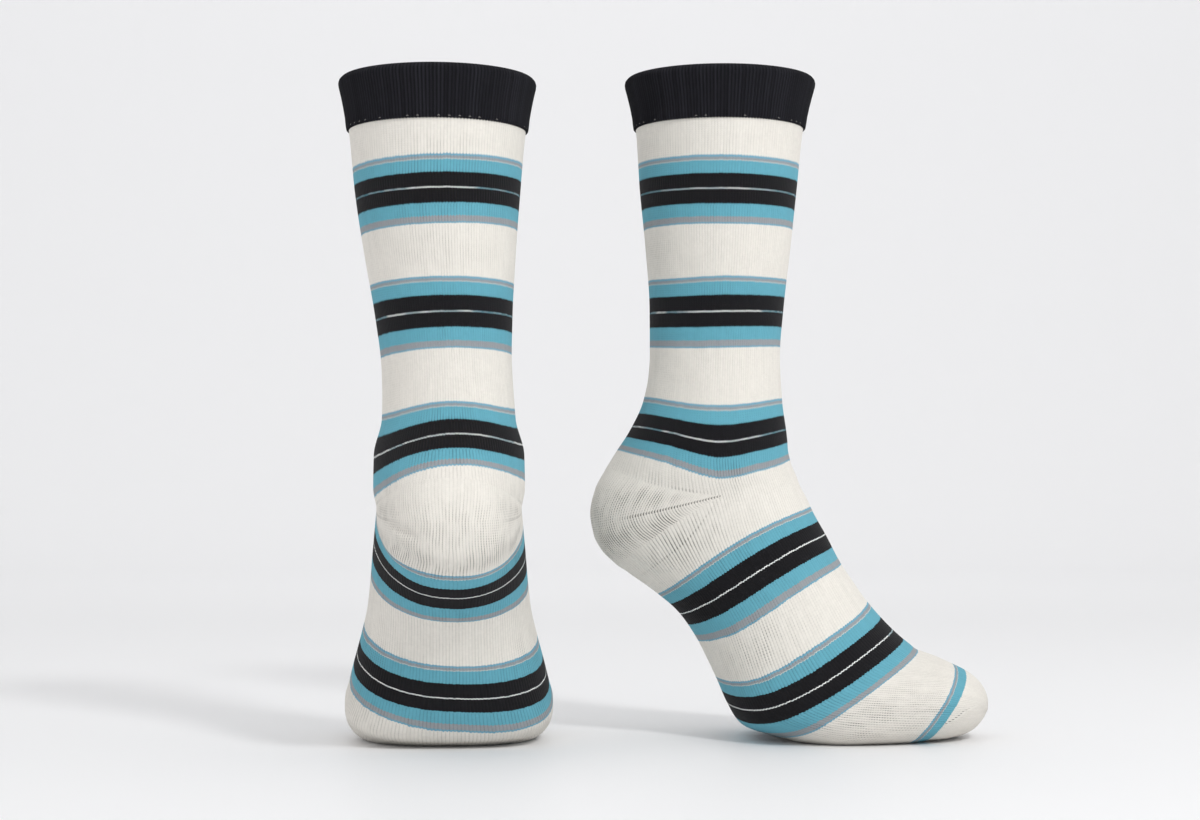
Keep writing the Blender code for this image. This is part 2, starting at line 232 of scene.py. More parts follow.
# Patches of the thin lines where the white yarn shows over the teal, in degrees round the sock
Patch = namedtuple("Patch", "start end share")
WHITE_PATCHES = {
    "left": {
        0: [Patch(140, 159, 0.35), Patch(159, 207, 1), Patch(226, 232, 0.35), Patch(300, 350, 0.8)],
        1: [
            Patch(126, 148, 1), Patch(148, 160, 0.35), Patch(160, 171, 0.95), Patch(171, 194, 0.45),
            Patch(194, 205, 0.7), Patch(320, 375, 0.9),
        ],
        2: [
            Patch(85, 132, 0.9), Patch(132, 144, 0.4), Patch(144, 178, 0.75), Patch(178, 212, 1),
            Patch(212, 238, 0.4), Patch(238, 275, 1), Patch(330, 400, 0.8),
        ],
    },
    "right": {
        0: [
            Patch(222, 248, 0.4), Patch(248, 271, 0.6), Patch(271, 291, 0.95), Patch(291, 310, 0.45),
            Patch(70, 110, 0.9),
        ],
        1: [Patch(204, 220, 0.9), Patch(233, 243, 0.4), Patch(243, 309, 1), Patch(60, 120, 0.8)],
        2: [
            Patch(180, 211, 0.7), Patch(230, 237, 1), Patch(237, 245, 0.4), Patch(245, 279, 1),
            Patch(279, 308, 0.75), Patch(40, 130, 0.9),
        ],
        4: [Patch(335, 380, 0.4)],
    },
}
PATCH_EDGE = 4.0
FIRST_WHITE_BAND = 3
TEAL_LINE_SHARE = 0.12
WHITE_LINE_SHARE = 0.9

# Where the knit is stretched open, so that its grooves and holes show in relief and with painted shade:
# down the knitting and degrees round it, the same on both sides of the sock
Spot = namedtuple("Spot", "down angle reach turn groove hole")
OPEN_SPOTS = [
    Spot(32, 180, 5, 40, 0, 0.35),
    Spot(32, 268, 5, 35, 0, 0.35),
    Spot(54, 178, 17, 42, 0.6, 0.1),
    Spot(57, 264, 15, 38, 0.75, 0.1),
    Spot(84, 186, 9, 40, 0.15, 0.25),
    Spot(113, 182, 14, 34, 0.4, 0.1),
    Spot(110, 272, 15, 30, 0.75, 0.1),
    Spot(172, 181, 14, 33, 1.1, 0.1),
    Spot(184, 282, 12, 15, 1.3, 0.1),
    Spot(205, 240, 9, 20, 2.6, 0.4),
    Spot(210, 252, 12, 30, 0.3, 0.3),
    Spot(233, 262, 17, 38, 1, 0.1),
    Spot(226, 180, 12, 36, 0.6, 0.1),
    Spot(262, 247, 9, 24, 0.6, 1.2),
    Spot(285, 256, 15, 44, 1.1, 0.1),
    Spot(272, 180, 30, 52, 0.5, 0.1),
    Spot(317, 258, 13, 26, 0.5, 2.1),
    Spot(326, 300, 14, 30, 0.2, 0.3),
    Spot(341, 262, 10, 30, 0.45, 1),
]
BASE_OPENNESS = (0.2, 0.2)

# The same on the heel, down its own courses and by share of the way from its side to its back
HeelSpot = namedtuple("HeelSpot", "down share reach spread groove hole")
HEEL_SPOTS = [
    HeelSpot(46, 0.43, 11, 0.19, 4.8, 0.8),
    HeelSpot(38, 0.14, 7, 0.12, 0.7, 0.5),
    HeelSpot(41, 0.74, 7, 0.15, 2.4, 1.4),
    HeelSpot(15, 0.46, 9, 0.19, 2, 2.4),
    HeelSpot(48, 0.98, 6, 0.3, 1, 2),
    HeelSpot(27, 0.92, 14, 0.36, 0.2, 2.5),
]

# The heel pocket's middle course, how strong the row of holes along it is, and how far the knit opens there
Gore = namedtuple("Gore", "down strength opening")
GORES = {"left": Gore(22.5, 0.55, 0.6), "right": Gore(30.5, 1.0, 1.0)}
GORE_FADE = (0.52, 0.66)

# The heel's wales from side to back, and how they lean away from the middle course, as a slope at that
# course and at the pocket's edge, above and under it
HEEL_WALES = 58
Lean = namedtuple("Lean", "at_gore at_edge")
LEAN_ABOVE = Lean(0.85, 0.05)
LEAN_UNDER = Lean(0.16, 0.3)

# A fainter row of holes along the foot, that drops away from the heel's lower seam and then runs beside it
UNDER_HEEL_DROP = 12.0
UNDER_HEEL_REACH = 0.3
UNDER_HEEL_STRENGTH = 0.5

# Short rows of holes at both sides: down the knitting, how far round from the back, how much lower they lie
# for each degree further round, how long they are and how strong
SideRow = namedtuple("SideRow", "part down turn fall reach strength")
SIDE_ROWS = [
    SideRow("leg", 194.2, 74, 0, 8, 0.45),
    SideRow("toe", 353.6, 83, 0.42, 13, 1),
]

# Soft folds pressed into each sock's cloth, from one place to another: down the knitting and degrees round
# it, how wide, and how high over the cloth, or how deep where that is less than 0
Fold = namedtuple("Fold", "part down angle end_down end_angle width height")
TOE_FOLDS = [
    Fold("foot", 351, 107, 366, 74, 1.3, 0.35),
    Fold("foot", 351, 253, 366, 286, 1.3, 0.35),
]
LEFT_FOLDS = [
    Fold("heel", 22, 121, 30.5, 161, 1.7, -1.3),
    Fold("heel", 27.5, 128, 37, 160, 3, 0.5),
    Fold("heel", 40, 132, 46, 168, 5, -1.4),
    Fold("heel", 47, 140, 51, 222, 7, -1.6),
    Fold("heel", 23.5, 229, 29, 206, 2.2, -0.25),
    Fold("leg", 178, 333, 184, 18, 4, -0.45),
    Fold("leg", 188, 350, 190, 33, 3.5, -0.35),
    Fold("foot", 206, 338, 203, 9, 4.5, -0.5),
    Fold("foot", 214, 352, 218, 28, 5, 0.35),
    Fold("foot", 236, 322, 241, 350, 5, -0.3),
    Fold("foot", 243, 196, 250, 152, 6, -0.3),
    Fold("leg", 146, 205, 151, 168, 5, -0.25),
    Fold("leg", 74, 212, 79, 158, 8, 0.3),
    Fold("foot", 318, 20, 326, 62, 6, -0.3),
    *TOE_FOLDS,
]
RIGHT_FOLDS = [
    Fold("foot", 196, 189, 203, 214, 2.2, -0.35),
    Fold("foot", 199, 168, 201, 186, 2.4, -0.3),
    Fold("leg", 180, 342, 184, 26, 4, -0.4),
    Fold("leg", 190, 330, 191.5, 2, 3, -0.3),
    Fold("foot", 203, 346, 207, 22, 4.5, -0.45),
    Fold("foot", 216, 335, 213, 4, 5, 0.3),
    Fold("foot", 238, 12, 244, 44, 5, -0.3),
    Fold("foot", 254, 205, 247, 238, 6, -0.3),
    Fold("leg", 150, 192, 146, 158, 5, -0.25),
    Fold("leg", 83, 246, 76, 295, 8, 0.3),
    Fold("leg", 138, 60, 132, 108, 7, -0.3),
    Fold("foot", 322, 66, 316, 30, 6, -0.3),
    *TOE_FOLDS,
]
FOLDS = {"left": LEFT_FOLDS, "right": RIGHT_FOLDS}
FOLD_STEPS = 33
FOLD_SWELL = 0.7

# Colours, as sRGB numbers. PAINTED_GAP_SHADE is painted shade, the dark of the shaded inside that shows in
# the openings between the stitches.
FLOOR = (244, 244, 245)
CREAM = (231, 227, 219)
PALE = (212, 210, 205)
BLACK = (24, 24, 27)
BLACK_WELT = (23, 23, 27)
TEAL = (102, 170, 188)
LIGHT_BLUE = (116, 168, 190)
GREY = (152, 157, 161)
WHITE_LINE = (240, 241, 238)
LINE_TEAL = (84, 138, 152)
PAINTED_GAP_SHADE = (34, 27, 20)

# Stripes of a band, by the share of its count at which each starts. Its thin line is over the middle one.
BAND_HEAD_START = 0.259
BAND_START = 0.3
BAND_LINE = 0.5
BAND_END = 0.7
BAND_TAIL_END = 0.757
BAND_SHARES = (BAND_HEAD_START, BAND_START, BAND_LINE, BAND_END, BAND_TAIL_END)
Stripe = namedtuple("Stripe", "start colour")
STRIPES = [
    Stripe(0.0, CREAM),
    Stripe(BAND_HEAD_START, LIGHT_BLUE),
    Stripe(0.277, GREY),
    Stripe(0.294, PALE),
    Stripe(BAND_START, TEAL),
    Stripe(0.388, BLACK),
    Stripe(0.606, TEAL),
    Stripe(BAND_END, GREY),
    Stripe(0.745, LIGHT_BLUE),
    Stripe(BAND_TAIL_END, CREAM),
]
LINE_FROM = 0.496
LINE_TO = 0.504
LINE_UNEVEN = 0.3

# Where the toe band ends, as a count, because the toe's cream begins inside it
TOE_BAND_END = 5.388

# Knit: length of a course, slant of its stitches and depth of its relief
COURSE_PITCH = 1.05
STITCH_SLANT = 0.45
KNIT_DEPTH = 0.18

# Where each mark fades in, in a stitch whose groove and gap run from 0 to 1. ROW_REACH is in millimetres.
TOOTH_EDGE = (0.2, 0.8)
GROOVE_EDGE = (0.5, 0.98)
HOLE_SIDE = (0.55, 0.95)
HOLE_END = (0.35, 0.85)
ROW_SIDE = (0.35, 0.8)
ROW_REACH = (0.25, 0.75)
RIB_EDGE = (0.2, 0.9)

# Patches where the knit opens more: their fineness, how sharp they are, and how much it opens at the least
# and in them
PATCH_SCALES = (0.33, 0.1)
PATCH_SHARE = (0.38, 0.62)
GROOVE_LEAST = 0.55
GROOVE_MORE = 0.6
HOLE_LEAST = 0.35
HOLE_MORE = 0.9

# Weights of the parts of the knit: how much painted shade its openings get, what makes its tone uneven, how
# light the welt is, with a painted highlight on its ribs and painted shade in its grooves and between its
# stitches, and what adds to the relief
Weights = namedtuple("Weights", "base wale rib stitch fibre grain cloud groove hole row", defaults=[0] * 10)
PAINTED_SHADE_IN_OPENINGS = Weights(groove=0.17, hole=0.36, row=0.62)
TONE = Weights(wale=0.035, cloud=0.04, stitch=0.04, grain=0.07)
WELT_TONE_AND_PAINTED_LIGHT = Weights(base=0.4, rib=0.5, wale=1.1, cloud=0.3, fibre=0.4, stitch=0.2)
KNIT_RELIEF = Weights(wale=0.4, stitch=0.2, fibre=0.25, grain=0.3, groove=-0.5, hole=-0.5, row=-1.2)
WELT_RELIEF = Weights(wale=0.9, stitch=0.2, fibre=0.3)

# The most that the painted shade in the openings darkens the cloth
DEEPEST_PAINTED_SHADE = 0.8

# Uneven edges of the stripes, in millimetres down the knitting
COUNTS_PER_MM = 0.0152
LEG_JAG_HEIGHT = 0.5
FOOT_JAG_HEIGHT = 0.25
FRAY_HEIGHT = 0.4
STEP_HEIGHT = 0.25

# Fineness of the noises in the cloth
NOISE_DETAIL = 2.0
FIBRE_SCALE = 2600.0
GRAIN_SCALE = 900.0
CLOUD_SCALE = 45.0
WELT_CLOUD_SCALE = 60.0

# How often a wale's tone changes down the knitting, and the numbers that keep the random draws apart
KNIT_CHANGES = 0.035
WELT_CHANGES = 0.02
WALE_DRAW = 3.0
STITCH_DRAW = 7.0
WELT_DRAW = 5.0
STRAY_DRAW = (2.0, 9.0)

Finish = namedtuple("Finish", "roughness gloss sheen", defaults=(0.0,))
KNIT_FINISH = Finish(0.92, 0.12, 0.04)
WELT_FINISH = Finish(0.9, 0.08, 0.02)
FLOOR_FINISH = Finish(0.5, 0.2)
SHEEN_ROUGHNESS = 0.6

# Studio, in metres: a floor just under the socks, that curves up into a wall all round
FLOOR_DROP = 0.0002
FLOOR_REACH = 2.2
CURVE_RADIUS = 0.9
CURVE_START = 0.1
WALL_TOP = 1.9
STAGE_COLUMNS = 96
FLOOR_ROWS = 12
CURVE_ROWS = 14

Light = namedtuple("Light", "name place target size power")
LIGHTS = [
    Light("key", (0.9, -1.42, 1.5), (-0.02, 0.0, 0.12), 0.35, 16.2),
    Light("wash", (0.0, 1.6, 1.5), (0.0, 3.1, 0.9), 1.6, 3.2),
]
WORLD_STRENGTH = 0.83

CAMERA_PLACE = (-0.0335, -1.117, 0.12575)
LENS = 69.0
SENSOR_WIDTH = 36.0
SHIFT_UP = 0.0625

# A piece's outer face, and how close the points of two pieces are that meet in one point
Grid = namedtuple("Grid", "downs angles points closed")
JOIN_DISTANCE = 0.01


def bell(values, reach):
    """Soft bump: 1 at 0, and fading past the reach."""
    return np.exp(-((values / reach) ** 2))


def step_lengths(points, axis):
    """Lengths of the steps between the points of a grid, along one of its axes."""
    return np.linalg.norm(np.diff(points, axis=axis), axis=-1)


def monotone_curve(knots, values, places):
    """Cubic curve through the values at the knots, read at the places, that never swings past a value."""
    gaps = np.diff(knots)[:, None]
    rises = np.diff(values, axis=0) / gaps
    before, after = rises[:-1], rises[1:]
    weight_before = 2 * gaps[1:] + gaps[:-1]
    weight_after = gaps[1:] + 2 * gaps[:-1]
    same_way = before * after > 0
    safe_before = np.where(same_way, before, 1.0)
    safe_after = np.where(same_way, after, 1.0)
    mean = (weight_before + weight_after) / (weight_before / safe_before + weight_after / safe_after)
    slopes = np.vstack([rises[:1], np.where(same_way, mean, 0.0), rises[-1:]])
    index = np.clip(np.searchsorted(knots, places, side="right") - 1, 0, len(gaps) - 1)
    gap = gaps[index]
    t = (places - knots[index])[:, None] / gap
    start = (1 + 2 * t) * (1 - t) ** 2 * values[index] + t * (1 - t) ** 2 * gap * slopes[index]
    end = t * t * (3 - 2 * t) * values[index + 1] - t * t * (1 - t) * gap * slopes[index + 1]
    return start + end


def chord_tilt(courses):
    """Slope of the line from back to front of each course."""
    rises = np.array([course.front_z - course.back_z for course in courses])
    runs = np.array([course.front_x - course.back_x for course in courses])
    return np.arctan2(rises, runs)


class Stack:
    """A stack of courses that can be read at any length of knitting."""

    def __init__(self, courses, instep_tilts):
        self.knots = np.array([course.down for course in courses])
        self.values = np.column_stack([np.array([list(course[1:]) for course in courses]), instep_tilts])

    def points(self, downs, angles):
        """Grid of points, a row for each length down and a column for each angle.

        The angle is 0 at the instep, a quarter turn at the sock's left side and a half turn at the back.
        """
        columns = monotone_curve(self.knots, self.values, np.asarray(downs, dtype=float)).T
        back_x, back_z, side_x, side_z, front_x, front_z, width, back_round, reach, instep_tilt = (
            column[:, None] for column in columns
        )
        across = np.sin(np.asarray(angles))[None, :]
        along = np.cos(np.asarray(angles))[None, :]
        behind = along < 0
        roundness = np.where(behind, back_round, 2.0)
        forward = np.abs(along) ** (2 / roundness)
        forward = np.where(behind, np.minimum(1.0, reach * forward), forward)
        sideways = np.sign(across) * np.abs(across) ** (2 / roundness) * width
        tilt = np.where(behind, np.arctan2(front_z - back_z, front_x - back_x), instep_tilt)
        end_x = np.where(behind, back_x, front_x) - side_x
        end_z = np.where(behind, back_z, front_z) - side_z
        level = end_x * np.cos(tilt) + end_z * np.sin(tilt)
        rise = end_z * np.cos(tilt) - end_x * np.sin(tilt)
        x = side_x + level * np.cos(tilt) * forward - rise * np.sin(tilt) * forward**2
        z = side_z + level * np.sin(tilt) * forward + rise * np.cos(tilt) * forward**2
        return np.stack([x, sideways, np.maximum(z, 0.0)], axis=-1)


def sock_stacks():
    """The stacks of a sock. The instep half runs past the heel, so its tilt there is the heel's mean."""
    heel_tilts = chord_tilt(HEEL)
    mean_tilt = (heel_tilts[0] + heel_tilts[-1]) / 2
    leg_tilts = chord_tilt(LEG)
    leg_tilts[-1] = mean_tilt
    foot_tilts = chord_tilt(FOOT)
    foot_tilts[0] = mean_tilt
    return {"leg": Stack(LEG, leg_tilts), "heel": Stack(HEEL, heel_tilts), "foot": Stack(FOOT, foot_tilts)}


def place_points(points, stand):
    """Points of a sock as this one stands in the pair."""
    share = np.clip((points[..., 2] - LEAN_FROM) / (LEAN_TO - LEAN_FROM), 0.0, 1.0)
    x = points[..., 0]
    y = points[..., 1] + stand.lean * share * share * (3 - 2 * share)
    z = np.maximum(points[..., 2] * stand.height_share - stand.press, 0.0)
    cosine, sine = math.cos(stand.heading), math.sin(stand.heading)
    return np.stack([stand.x + x * cosine - y * sine, stand.y + x * sine + y * cosine, z], axis=-1)


def turn_between(angles, degrees):
    """Signed turn in degrees from an angle to each of some angles in radians."""
    return (np.degrees(angles) - degrees + 180) % 360 - 180


def ring_values(ring, angles):
    """Smooth values round a course through a ring's places, with its slope and its points at the sides."""
    places = np.linspace(0.0, math.pi, RING_PLACES)
    waves = np.arange(RING_PLACES)
    shares = np.linalg.solve(np.cos(np.outer(places, waves)), np.array(ring[:RING_PLACES]))
    from_side = np.abs(np.abs(turn_between(angles, 180)) - 90)
    point = ring.point * np.clip(1 - from_side / POINT_TURN, 0.0, 1.0)
    return np.cos(np.outer(angles, waves)) @ shares + ring.slope / 2 * np.sin(angles) + point


def band_count(side, part, downs, angles):
    """How many stripe bands have been passed at each place of a grid.

    Band k runs from k + BAND_START to k + BAND_END, with its pale edges just outside.
    """
    numbers = PIECE_BANDS[part]
    knots = []
    for number in numbers:
        top, line, foot = (ring_values(ring, angles) for ring in BANDS[side][number])
        knots += [top - BAND_HEAD, top, line, foot, foot + BAND_TAIL]
    knots = [knots[0] - PLAIN_LENGTH, *knots, knots[-1] + PLAIN_LENGTH]
    values = [number + share for number in numbers for share in BAND_SHARES]
    values = [values[0] - PLAIN_COUNT, *values, values[-1] + PLAIN_COUNT]
    return np.stack([np.interp(downs, column, values) for column in np.transpose(knots)], axis=-1)


def line_whiteness(side, counts, angles):
    """How white the thin line in each band is at each place of a grid: 0 for teal and 1 for white."""
    number = np.floor(counts).astype(int)
    whiteness = np.where(number < FIRST_WHITE_BAND, TEAL_LINE_SHARE, WHITE_LINE_SHARE)
    for band, patches in WHITE_PATCHES[side].items():
        for patch in patches:
            middle = (patch.start + patch.end) / 2
            inside = (patch.end - patch.start) / 2 - np.abs(turn_between(angles, middle))
            within = np.clip(inside / PATCH_EDGE + 0.5, 0.0, 1.0)[None, :]
            blended = whiteness + (patch.share - whiteness) * within
            whiteness = np.where(number == band, blended, whiteness)
    return whiteness


def tube_openness(downs, angles):
    """How open the grooves and the holes of the knit are on a piece made of whole courses."""
    grid = np.zeros((len(downs), len(angles), 2)) + np.array(BASE_OPENNESS)
    for spot in OPEN_SPOTS:
        for centre in {spot.angle, 360 - spot.angle}:
            along = bell(downs - spot.down, spot.reach)
            around = bell(turn_between(angles, centre), spot.turn)
            grid += along[:, None, None] * around[None, :, None] * np.array([spot.groove, spot.hole])
    return grid


def heel_openness(downs, side_share, opening):
    """How open the grooves and the holes of the knit are on the heel."""
    grid = np.zeros(side_share.shape + (2,)) + np.array(BASE_OPENNESS)
    for spot in HEEL_SPOTS:
        along = bell(downs - spot.down, spot.reach)[:, None]
        around = bell(side_share - spot.share, spot.spread)
        grid += opening * (along * around)[..., None] * np.array([spot.groove, spot.hole])
    return grid


def arc_wales(points, first, last):
    """Wale number at each column of each row, spread evenly by length between two numbers."""
    steps = step_lengths(points, 1)
    along = np.concatenate([np.zeros((len(points), 1)), np.cumsum(steps, axis=1)], axis=1)
    return first + (last - first) * along / np.maximum(along[:, -1:], TINY)


def tube_wales(points):
    """Wale numbers round whole courses, each quarter of a course with a quarter of the needles."""
    count = points.shape[1] - 1
    quarter = count // 4
    wales = np.zeros(points.shape[:2])
    for number in range(4):
        part = slice(number * quarter, (number + 1) * quarter + 1)
        wales[:, part] = arc_wales(points[:, part], number * QUARTER, (number + 1) * QUARTER)
    return wales


def grid_normals(points, closed):
    """Unit normals of a grid of points, from the steps along its rows and columns."""
    if closed:
        ring = points[:, :-1]
        across = np.roll(ring, -1, axis=1) - np.roll(ring, 1, axis=1)
        across = np.concatenate([across, across[:, :1]], axis=1)
    else:
        across = np.gradient(points, axis=1)
    down = np.gradient(points, axis=0)
    normals = np.cross(down, across)
    return normals / np.maximum(np.linalg.norm(normals, axis=-1, keepdims=True), TINY)


def joined_normals(pieces):
    """Unit normals of several grids that meet, made one where their points coincide."""
    places = np.concatenate([grid.points.reshape(-1, 3) for grid in pieces])
    normals = np.concatenate([grid_normals(grid.points, grid.closed).reshape(-1, 3) for grid in pieces])
    keys, owner = np.unique(np.round(places / JOIN_DISTANCE).astype(np.int64), axis=0, return_inverse=True)
    sums = np.zeros((len(keys), 3))
    np.add.at(sums, owner.ravel(), normals)
    lengths = np.linalg.norm(sums, axis=1, keepdims=True)
    joined = (sums / np.maximum(lengths, TINY))[owner.ravel()]
    ends = np.cumsum([grid.points.size // 3 for grid in pieces])
    return [part.reshape(grid.points.shape) for part, grid in zip(np.split(joined, ends[:-1]), pieces)]


def corner_values(table):
    """Values of a grid at the four corners of each of its faces."""
    return np.stack([table[:-1, :-1], table[1:, :-1], table[1:, 1:], table[:-1, 1:]], axis=2)


def corner_map(first, second):
    """Map of two numbers on every corner of a grid's faces."""
    return corner_values(np.stack([first, second], axis=-1))


def shell_mesh(name, outer, normals, closed, maps):
    """Thin shell of cloth under a grid of points, closed at its first and last rows and, for a grid that
    closes round, all round, with its maps on every corner.
    """
    rows, columns = outer.shape[:2]
    count = columns - 1 if closed else columns
    inner = outer - normals * CLOTH
    number = np.arange(rows)[:, None] * count + np.arange(columns)[None, :] % count
    outside = corner_values(number)
    inside = outside[:, :, ::-1] + rows * count
    over = np.array([0, 3, 3, 0])
    under = np.array([2, 1, 1, 2])
    step_in = np.array([0, 0, rows * count, rows * count])
    top_rim = outside[0][:, over] + step_in
    foot_rim = outside[-1][:, under] + step_in
    faces = np.concatenate([outside.reshape(-1, 4), inside.reshape(-1, 4), top_rim, foot_rim])
    points = np.concatenate([outer[:, :count].reshape(-1, 3), inner[:, :count].reshape(-1, 3)]) * MM
    facing = np.concatenate([normals[:, :count].reshape(-1, 3), -normals[:, :count].reshape(-1, 3)])
    mesh = bpy.data.meshes.new(name)
    mesh.from_pydata(points.tolist(), [], faces.tolist())
    for title, values in maps.items():
        spread = [
            values.reshape(-1, 2),
            values[:, :, ::-1].reshape(-1, 2),
            values[0][:, over].reshape(-1, 2),
            values[-1][:, under].reshape(-1, 2),
        ]
        layer = mesh.uv_layers.new(name=title)
        layer.uv.foreach_set("vector", np.concatenate(spread).astype(np.float32).ravel())
    mesh.shade_smooth()
    mesh.normals_split_custom_set_from_vertices(facing.tolist())
    return mesh


def add_object(name, data):
    """Object for a mesh, a light or a camera, in the scene."""
    thing = bpy.data.objects.new(name, data)
    bpy.context.scene.collection.objects.link(thing)
    return thing


def add_cloth(node, mesh, material, flat):
    """Cloth piece that stands for a CAD node."""
    mesh.materials.append(material)
    piece = add_object(node + "_knit", mesh)
    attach(piece, "root")
    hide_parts(node)


def tube_row(part, downs, angles):
    """Strength of the row of small holes on a piece of whole courses, and the distance from it in mm."""
    behind = np.maximum(-np.cos(angles), 0.0)
    from_back = np.abs(turn_between(angles, 180))
    middle = ANKLE + UNDER_HEEL_DROP * np.tanh(behind / UNDER_HEEL_REACH)
    strength = np.zeros(len(angles))
    if part == "foot":
        strength = UNDER_HEEL_STRENGTH * np.minimum(behind / UNDER_HEEL_REACH, 1.0) * (1 - behind**4)
    for row in SIDE_ROWS:
        if row.part == part:
            middle = row.down + row.fall * (from_back - row.turn)
            strength = row.strength * bell(from_back - row.turn, row.reach)
    distance = downs[:, None] - middle[None, :]
    return np.broadcast_to(strength, distance.shape), distance


def tube_maps(side, part, grid):
    """Maps of a piece made of whole courses."""
    downs, angles = grid.downs, grid.angles
    wales = tube_wales(grid.points)
    lengths = np.broadcast_to(downs[:, None], wales.shape)
    counts = band_count(side, part, downs, angles)
    return {
        "knit": corner_map(wales, lengths),
        "bands": corner_map(counts, line_whiteness(side, counts, angles)),
        "row": corner_map(*tube_row(part, downs, angles)),
        "openness": corner_values(tube_openness(downs, angles)),
    }


def heel_maps(side, part, grid):
    """Maps of a heel pocket, whose wales lean away from its middle course on both sides of it."""
    downs, angles, points = grid[:3]
    gore = GORES[side]
    flank = np.where(angles < math.pi, -1.0, 1.0)
    half_lengths = step_lengths(points, 1).sum(axis=1, keepdims=True) / 2
    share = 1 - np.abs(arc_wales(points, -1.0, 1.0))
    from_gore = (downs - gore.down)[:, None] * share
    under = downs[:, None] > gore.down
    edge = np.where(under, HEEL[-1].down - gore.down, gore.down) * share
    at_gore = np.where(under, LEAN_UNDER.at_gore, LEAN_ABOVE.at_gore)
    at_edge = np.where(under, LEAN_UNDER.at_edge, LEAN_ABOVE.at_edge)
    height = np.abs(from_gore)
    shift = height * (at_gore + (at_edge - at_gore) * height / (2 * np.maximum(edge, TINY)))
    leaned = share + shift / half_lengths * (1 - share**2)
    wales = flank * (1 - leaned) * HEEL_WALES
    counts = band_count(side, part, ANKLE - (HEEL[-1].down - downs), angles)
    faded = np.clip((share - GORE_FADE[0]) / (GORE_FADE[1] - GORE_FADE[0]), 0.0, 1.0)
    strength = gore.strength * (1 - faded)
    return {
        "knit": corner_map(wales, from_gore),
        "bands": corner_map(counts, line_whiteness(side, counts, angles)),
        "row": corner_map(strength, from_gore),
        "openness": corner_values(heel_openness(downs, share, gore.opening)),
    }


def fold_heights(fold, stacks, points):
    """Height that a fold adds at each point of a grid, strongest half way along it."""
    along = np.linspace(0.0, 1.0, FOLD_STEPS)
    turn = (fold.end_angle - fold.angle + 180) % 360 - 180
    downs = fold.down + (fold.end_down - fold.down) * along
    angles = np.radians(fold.angle + turn * along)
    swell = np.sin(math.pi * along) ** FOLD_SWELL
    heights = np.zeros(points.shape[:2])
    for down, angle, share in zip(downs, angles, swell):
        place = stacks[fold.part].points([down], [angle])[0, 0]
        distance = np.linalg.norm(points - place, axis=-1)
        heights = np.maximum(heights, share * bell(distance, fold.width))
    return fold.height * heights


def folded(side, stacks, grids):
    """The grids of a sock with its folds pressed into them."""
    normals = joined_normals(grids.values())
    pressed = {}
    for (part, grid), facing in zip(grids.items(), normals):
        heights = sum(fold_heights(fold, stacks, grid.points) for fold in FOLDS[side])
        pressed[part] = grid._replace(points=grid.points + facing * heights[..., None])
    return pressed


def sock_grids(side, stacks):
    """Outer faces of the cloth pieces of a sock."""
    round_angles = np.linspace(0.0, 2 * math.pi, COLUMNS + 1)
    back_angles = np.linspace(math.pi / 2, 3 * math.pi / 2, COLUMNS // 2 + 1)
    leg_downs = np.linspace(LEG_TOP, ANKLE, LEG_ROWS)
    above_gore = np.linspace(HEEL[0].down, GORES[side].down, HEEL_ROWS // 2 + 1)
    under_gore = np.linspace(GORES[side].down, HEEL[-1].down, HEEL_ROWS // 2 + 1)
    heel_downs = np.append(above_gore, under_gore[1:])
    foot_downs = np.linspace(ANKLE, TOE_START, FOOT_ROWS)
    toe_downs = SOCK_END - (SOCK_END - TOE_START) * np.linspace(1.0, 0.0, TOE_ROWS) ** TOE_CROWDING
    plan = {
        "leg": (leg_downs, round_angles, "leg", True),
        "heel": (heel_downs, back_angles, "heel", False),
        "foot": (foot_downs, round_angles, "foot", True),
        "toe": (toe_downs, round_angles, "foot", True),
    }
    grids = {}
    for part, (downs, angles, stack, closed) in plan.items():
        points = stacks[stack].points(downs, angles)
        if part == "toe":
            points[-1] = points[-1].mean(axis=0)
        grids[part] = Grid(downs, angles, points, closed)
    return grids


def sheet_size(points):
    """Flat width and length of a grid of points, in metres."""
    width = step_lengths(points, 1).sum(axis=1).mean()
    length = step_lengths(points, 0).sum(axis=0).mean()
    return (float(width) * MM, float(length) * MM)


def add_sock_cloth(stand, stacks, material):
    """Leg, heel pocket, foot and toe pocket of one sock."""
    grids = folded(stand.side, stacks, sock_grids(stand.side, stacks))
    placed = [grid._replace(points=place_points(grid.points, stand)) for grid in grids.values()]
    for (part, grid), stood, facing in zip(grids.items(), placed, joined_normals(placed)):
        make_maps = heel_maps if part == "heel" else tube_maps
        maps = make_maps(stand.side, part, grid)
        node = stand.side + "_" + part
        mesh = shell_mesh(node, stood.points, facing, grid.closed, maps)
        add_cloth(node, mesh, material, sheet_size(stood.points))


